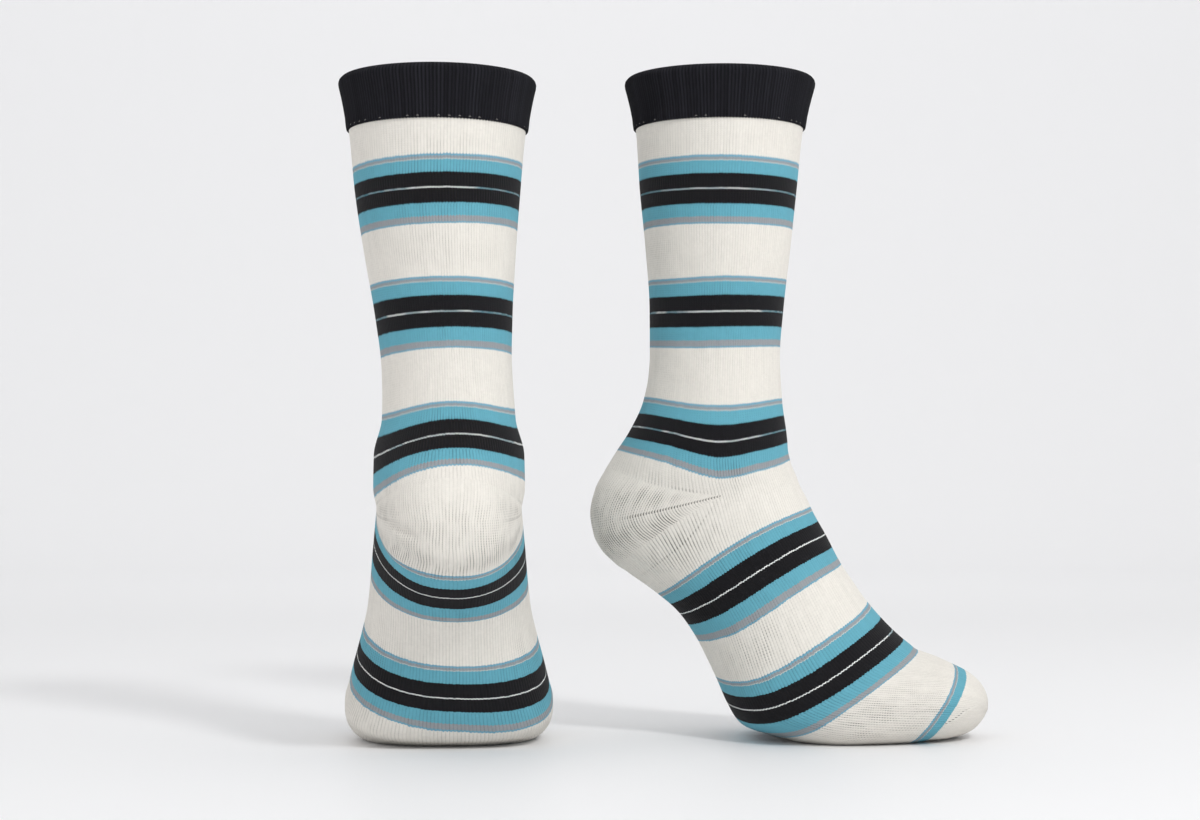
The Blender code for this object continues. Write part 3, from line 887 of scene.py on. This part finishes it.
def add_welt(stand, stacks, material):
    """Cuff of one sock: a folded welt, ribbed outside and over its top."""
    fine_angles = np.linspace(0.0, 2 * math.pi, WELT_STEPS + 1)
    course = stacks["leg"].points([CUFF_END / 2], fine_angles)
    wales = np.linspace(0.0, NEEDLES, WELT_COLUMNS + 1)
    angles = np.interp(wales, tube_wales(course)[0], fine_angles)
    outward = np.stack([np.cos(angles), np.sin(angles), np.zeros(len(angles))], axis=-1)
    rings = []
    for row in WELT:
        ring = stacks["leg"].points([row.down], angles)[0]
        rib = WELT_RIB_HEIGHT * row.rib_share * np.cos(2 * math.pi * wales)
        tooth = np.outer(row.tooth * np.cos(2 * math.pi * wales), (0.0, 0.0, -1.0))
        rings.append(ring + outward * (row.outset + rib)[:, None] + tooth)
    rings.append(rings[0])
    points = place_points(np.array(rings), stand)
    lengths = np.append(0.0, np.cumsum(step_lengths(points[:, 0], 0)))
    shape = points.shape[:2]
    knit = corner_map(np.broadcast_to(wales, shape), np.broadcast_to(lengths[:, None], shape))
    count = WELT_COLUMNS
    rows = len(rings)
    number = (np.arange(rows)[:, None] % (rows - 1)) * count + np.arange(count + 1)[None, :] % count
    faces = corner_values(number)[:, :, ::-1].reshape(-1, 4)
    mesh = bpy.data.meshes.new(stand.side + "_cuff")
    mesh.from_pydata((points[:-1, :count].reshape(-1, 3) * MM).tolist(), [], faces.tolist())
    layer = mesh.uv_layers.new(name="knit")
    layer.uv.foreach_set("vector", knit[:, :, ::-1].astype(np.float32).ravel())
    mesh.shade_smooth()
    size = sheet_size(points)
    add_cloth(stand.side + "_cuff", mesh, material, (size[0], size[1] / 2))


def linear(red, green, blue):
    """Linear colour of an sRGB colour given as numbers from 0 to 255."""
    shares = np.array([red, green, blue]) / 255
    values = np.where(shares <= 0.04045, shares / 12.92, ((shares + 0.055) / 1.055) ** 2.4)
    return (*[float(value) for value in values], 1.0)


class Graph:
    """The nodes of one material, with short ways to add more."""

    def __init__(self, name, finish):
        self.material = bpy.data.materials.new(name)
        self.material.use_nodes = True
        self.nodes = self.material.node_tree.nodes
        self.links = self.material.node_tree.links
        self.shader = self.nodes["Principled BSDF"]
        self.shader.inputs["Roughness"].default_value = finish.roughness
        self.shader.inputs["Sheen Weight"].default_value = finish.sheen
        self.shader.inputs["Sheen Roughness"].default_value = SHEEN_ROUGHNESS
        self.shader.inputs["Specular IOR Level"].default_value = finish.gloss

    def feed(self, socket, value):
        """Link a value that comes from a node, or set a plain one."""
        if isinstance(value, bpy.types.NodeSocket):
            self.links.new(value, socket)
        else:
            socket.default_value = value

    def node(self, kind, feeds=(), **settings):
        """Node of a kind, with its settings and its inputs."""
        made = self.nodes.new("ShaderNode" + kind)
        for setting, value in settings.items():
            setattr(made, setting, value)
        for socket, value in feeds:
            self.feed(made.inputs[socket], value)
        return made

    def math(self, operation, *values):
        """Result of one sum of arithmetic."""
        return self.node("Math", enumerate(values), operation=operation).outputs[0]

    def total(self, first, *rest):
        """Sum of several values."""
        for value in rest:
            first = self.math("ADD", first, value)
        return first

    def product(self, first, *rest):
        """Product of several values."""
        for value in rest:
            first = self.math("MULTIPLY", first, value)
        return first

    def weighted(self, weights, **parts):
        """Some values, each times its weight in a table."""
        return [self.product(value, getattr(weights, name)) for name, value in parts.items()]

    def centred(self, value):
        """A value from 0 to 1, as one from -0.5 to 0.5."""
        return self.math("SUBTRACT", value, 0.5)

    def rest(self, value):
        """What a value leaves of 1."""
        return self.math("SUBTRACT", 1.0, value)

    def ridge(self, value):
        """1 at 0 and at 1, and 0 half way between them."""
        return self.product(self.math("ABSOLUTE", self.centred(value)), 2.0)

    def uv(self, name):
        """Both numbers of a map."""
        split = self.node("SeparateXYZ", [(0, self.node("UVMap", uv_map=name).outputs[0])])
        return split.outputs[0], split.outputs[1]

    def step(self, value, low, high):
        """Smooth step from 0 at the low value to 1 at the high one."""
        feeds = [(0, value), (1, low), (2, high)]
        return self.node("MapRange", feeds, interpolation_type="SMOOTHSTEP").outputs[0]

    def vector(self, x, y, z=0.0):
        """Vector of three values."""
        return self.node("CombineXYZ", [(0, x), (1, y), (2, z)]).outputs[0]

    def noise(self, vector, scale):
        """Soft noise from 0 to 1."""
        feeds = [("Vector", vector), ("Scale", scale), ("Detail", NOISE_DETAIL)]
        return self.node("TexNoise", feeds).outputs[0]

    def chance(self, vector):
        """Random number from 0 to 1, its own in each whole step of a vector."""
        floor = self.node("VectorMath", [(0, vector)], operation="FLOOR").outputs[0]
        return self.node("TexWhiteNoise", [("Vector", floor)]).outputs[0]

    def mix(self, share, first, second):
        """Colour part way from the first to the second."""
        made = self.node("Mix", [(0, share), (6, first), (7, second)], data_type="RGBA")
        return made.outputs[2]

    def shade(self, colour, light):
        """Colour made darker or lighter by a factor."""
        return self.node("VectorMath", [(0, colour), (3, light)], operation="SCALE").outputs[0]

    def ramp(self, value, stops):
        """Colour by steps, from a table of a start and a colour for each."""
        made = self.node("ValToRGB", [(0, value)])
        made.color_ramp.interpolation = "CONSTANT"
        elements = made.color_ramp.elements
        elements[0].position, elements[0].color = stops[0]
        elements[1].position, elements[1].color = stops[1]
        for start, colour in stops[2:]:
            elements.new(start).color = colour
        return made.outputs[0]

    def finish(self, colour, height, depth):
        """Give the shader its colour, and a bump of a depth in millimetres."""
        bump = self.node("Bump", [("Strength", 1.0), ("Distance", depth * MM), ("Height", height)])
        self.feed(self.shader.inputs["Base Color"], colour)
        self.feed(self.shader.inputs["Normal"], bump.outputs[0])
        return self.material


def knit_stitches(graph, wale, down):
    """1 in the groove between two wales, and 1 in the gap between two stitches."""
    groove = graph.ridge(graph.math("FRACT", wale))
    course = graph.math("DIVIDE", down, COURSE_PITCH)
    slanted = graph.math("SUBTRACT", course, graph.product(groove, STITCH_SLANT))
    return groove, graph.ridge(graph.math("FRACT", slanted))


def stripe_colours(graph, groove, fibres, wale_chance):
    """Colours of the stripe bands, with their uneven edges and their thin lines."""
    count, whiteness = graph.uv("bands")
    on_leg = graph.math("LESS_THAN", count, float(FIRST_WHITE_BAND))
    tooth = graph.product(graph.centred(graph.step(groove, *TOOTH_EDGE)), COUNTS_PER_MM)
    foot_jag = graph.product(tooth, FOOT_JAG_HEIGHT)
    leg_jag = graph.product(tooth, on_leg, LEG_JAG_HEIGHT - FOOT_JAG_HEIGHT)
    fray = graph.product(graph.centred(fibres), FRAY_HEIGHT * COUNTS_PER_MM)
    step = graph.product(graph.centred(wale_chance), STEP_HEIGHT * COUNTS_PER_MM)
    jagged = graph.total(count, graph.total(foot_jag, leg_jag), fray, step)
    band = graph.math("FRACT", jagged)
    stripes = graph.ramp(band, [(stripe.start, linear(*stripe.colour)) for stripe in STRIPES])
    after_start = graph.math("GREATER_THAN", band, LINE_FROM)
    before_end = graph.math("LESS_THAN", band, LINE_TO)
    uneven = graph.product(graph.centred(wale_chance), LINE_UNEVEN)
    white_share = graph.node("Clamp", [(0, graph.total(whiteness, uneven))]).outputs[0]
    line = graph.mix(white_share, linear(*LINE_TEAL), linear(*WHITE_LINE))
    stripes = graph.mix(graph.product(after_start, before_end), stripes, line)
    past_toe_band = graph.math("GREATER_THAN", jagged, TOE_BAND_END)
    return graph.mix(past_toe_band, stripes, linear(*CREAM))


def openings(graph, groove, gap, wale, down):
    """How far the knit is open at its grooves, its small holes and its rows of holes."""
    row_strength, from_row = graph.uv("row")
    groove_openness, hole_openness = graph.uv("openness")
    spread = graph.vector(graph.product(wale, PATCH_SCALES[0]), graph.product(down, PATCH_SCALES[1]))
    patchy = graph.step(graph.noise(spread, 1.0), *PATCH_SHARE)
    in_groove = graph.product(graph.step(groove, *GROOVE_EDGE), groove_openness)
    in_hole = graph.product(graph.step(groove, *HOLE_SIDE), graph.step(gap, *HOLE_END), hole_openness)
    open_groove = graph.product(in_groove, graph.total(GROOVE_LEAST, graph.product(patchy, GROOVE_MORE)))
    hole = graph.product(in_hole, graph.total(HOLE_LEAST, graph.product(patchy, HOLE_MORE)))
    near_row = graph.rest(graph.step(graph.math("ABSOLUTE", from_row), *ROW_REACH))
    row_hole = graph.product(near_row, row_strength, graph.step(groove, *ROW_SIDE))
    return open_groove, hole, row_hole


def knit_material():
    """Fine plain knit in cream with stripe bands, and painted shade in the grooves and holes between its
    stitches.
    """
    graph = Graph("cream_cotton_knit", KNIT_FINISH)
    wale, down = graph.uv("knit")
    place = graph.node("TexCoord").outputs["Object"]
    groove, gap = knit_stitches(graph, wale, down)
    fibres = graph.noise(place, FIBRE_SCALE)
    grain = graph.noise(place, GRAIN_SCALE)
    clouds = graph.noise(place, CLOUD_SCALE)
    wale_chance = graph.chance(graph.vector(wale, graph.product(down, KNIT_CHANGES), WALE_DRAW))
    stitch_chance = graph.chance(graph.vector(wale, graph.math("DIVIDE", down, COURSE_PITCH), STITCH_DRAW))
    stripes = stripe_colours(graph, groove, fibres, wale_chance)
    open_groove, hole, row_hole = openings(graph, groove, gap, wale, down)
    # Painted shade: the openings darken the stripes towards the gap colour, as if shade fell into the
    # grooves and holes.
    painted_shade = graph.total(*graph.weighted(PAINTED_SHADE_IN_OPENINGS, groove=open_groove, hole=hole, row=row_hole))
    stripes_with_painted_shade = graph.mix(graph.math("MINIMUM", painted_shade, DEEPEST_PAINTED_SHADE), stripes, linear(*PAINTED_GAP_SHADE))
    tones = graph.weighted(TONE, wale=wale_chance, cloud=clouds, stitch=stitch_chance, grain=grain)
    tone = graph.total(1.0 - sum([TONE.wale, TONE.cloud, TONE.stitch, TONE.grain]) / 2, *tones)
    heights = graph.weighted(
        KNIT_RELIEF,
        wale=graph.rest(graph.product(groove, groove)),
        stitch=graph.rest(gap),
        groove=open_groove,
        hole=hole,
        row=row_hole,
        grain=grain,
        fibre=fibres,
    )
    return graph.finish(graph.shade(stripes_with_painted_shade, tone), graph.total(*heights), KNIT_DEPTH)


def stray_stitches(graph, wale, down, rib):
    """Strength of the loose pale stitches by the welt's lower edge."""
    from_stray = graph.math("ABSOLUTE", graph.math("SUBTRACT", down, STRAY_LENGTH))
    at_edge = graph.math("LESS_THAN", from_stray, STRAY_REACH)
    in_turn = graph.math("FRACT", graph.product(wale, 1 / STRAY_WALES))
    spaced = graph.math("LESS_THAN", in_turn, 1 / STRAY_WALES)
    loose = graph.math("LESS_THAN", graph.chance(graph.vector(wale, *STRAY_DRAW)), STRAY_SHARE)
    return graph.product(at_edge, spaced, loose, rib, STRAY_STRENGTH)


def welt_material():
    """Black ribbed welt, with a painted highlight on its ribs and painted shade in its grooves and between
    its stitches.
    """
    graph = Graph("black_welt_knit", WELT_FINISH)
    wale, down = graph.uv("knit")
    place = graph.node("TexCoord").outputs["Object"]
    groove, gap = knit_stitches(graph, wale, down)
    fibres = graph.noise(place, FIBRE_SCALE)
    clouds = graph.noise(place, WELT_CLOUD_SCALE)
    wale_chance = graph.chance(graph.vector(wale, graph.product(down, WELT_CHANGES), WELT_DRAW))
    # Painted light: the ribs are painted lighter as a highlight, and the grooves and the gaps between the
    # stitches darker as shade; the welt's cloud and fibre tone is random.
    rib = graph.rest(graph.step(groove, *RIB_EDGE))
    painted_rib_highlight = graph.product(rib, graph.total(WELT_TONE_AND_PAINTED_LIGHT.rib, graph.product(wale_chance, WELT_TONE_AND_PAINTED_LIGHT.wale)))
    lights = graph.weighted(WELT_TONE_AND_PAINTED_LIGHT, cloud=clouds, fibre=fibres, stitch=graph.rest(gap))
    light = graph.total(WELT_TONE_AND_PAINTED_LIGHT.base, painted_rib_highlight, *lights)
    colour = graph.shade(linear(*BLACK_WELT)[:3], light)
    colour = graph.mix(stray_stitches(graph, wale, down, rib), colour, linear(*CREAM))
    round_wale = graph.rest(graph.product(groove, groove))
    heights = graph.weighted(WELT_RELIEF, wale=round_wale, stitch=graph.rest(gap), fibre=fibres)
    return graph.finish(colour, graph.total(*heights), KNIT_DEPTH)


def add_stage():
    """Pale floor that rises to a pale wall all round."""
    profile = [(reach, 0.0) for reach in np.linspace(0.0, FLOOR_REACH, FLOOR_ROWS)[1:]]
    for turn in np.linspace(CURVE_START, math.pi / 2, CURVE_ROWS):
        reach = FLOOR_REACH + CURVE_RADIUS * math.sin(turn)
        profile.append((reach, CURVE_RADIUS - CURVE_RADIUS * math.cos(turn)))
    profile.append((FLOOR_REACH + CURVE_RADIUS, WALL_TOP))
    turns = [2 * math.pi * column / STAGE_COLUMNS for column in range(STAGE_COLUMNS)]
    points = [
        (reach * math.cos(turn), reach * math.sin(turn), height - FLOOR_DROP)
        for reach, height in profile
        for turn in turns
    ]
    points.append((0.0, 0.0, -FLOOR_DROP))
    following = [(column + 1) % STAGE_COLUMNS for column in range(STAGE_COLUMNS)]
    faces = []
    for start in range(0, (len(profile) - 1) * STAGE_COLUMNS, STAGE_COLUMNS):
        end = start + STAGE_COLUMNS
        for column, after in enumerate(following):
            faces.append((start + column, end + column, end + after, start + after))
    for column, after in enumerate(following):
        faces.append((len(points) - 1, column, after))
    mesh = bpy.data.meshes.new("studio_floor")
    mesh.from_pydata(points, [], faces)
    mesh.shade_smooth()
    graph = Graph("studio_floor", FLOOR_FINISH)
    graph.shader.inputs["Base Color"].default_value = linear(*FLOOR)
    mesh.materials.append(graph.material)
    add_object("studio_floor", mesh)


def add_lights():
    """Even light from all round, and round lamps that each look at a point."""
    world = bpy.data.worlds.new("studio")
    world.use_nodes = True
    background = world.node_tree.nodes["Background"]
    background.inputs["Color"].default_value = (1.0, 1.0, 1.0, 1.0)
    background.inputs["Strength"].default_value = WORLD_STRENGTH
    bpy.context.scene.world = world
    for light in LIGHTS:
        data = bpy.data.lights.new(light.name, "AREA")
        data.shape = "DISK"
        data.size = light.size
        data.energy = light.power
        lamp = add_object(light.name, data)
        lamp.location = light.place
        facing = Vector(light.target) - Vector(light.place)
        lamp.rotation_euler = facing.to_track_quat("-Z", "Y").to_euler()


def add_camera():
    """Level camera in front of the pair."""
    data = bpy.data.cameras.new("camera")
    data.lens = LENS
    data.sensor_width = SENSOR_WIDTH
    data.shift_y = SHIFT_UP
    camera = add_object("camera", data)
    camera.location = CAMERA_PLACE
    camera.rotation_euler = (math.pi / 2, 0.0, 0.0)
    bpy.context.scene.camera = camera


def main():
    """Dress the frame and light it."""
    stacks = sock_stacks()
    welt = welt_material()
    knit = knit_material()
    for stand in STANDS:
        add_welt(stand, stacks, welt)
        add_sock_cloth(stand, stacks, knit)
    add_stage()
    add_lights()
    add_camera()
    bpy.context.scene.view_settings.view_transform = "Standard"


main()
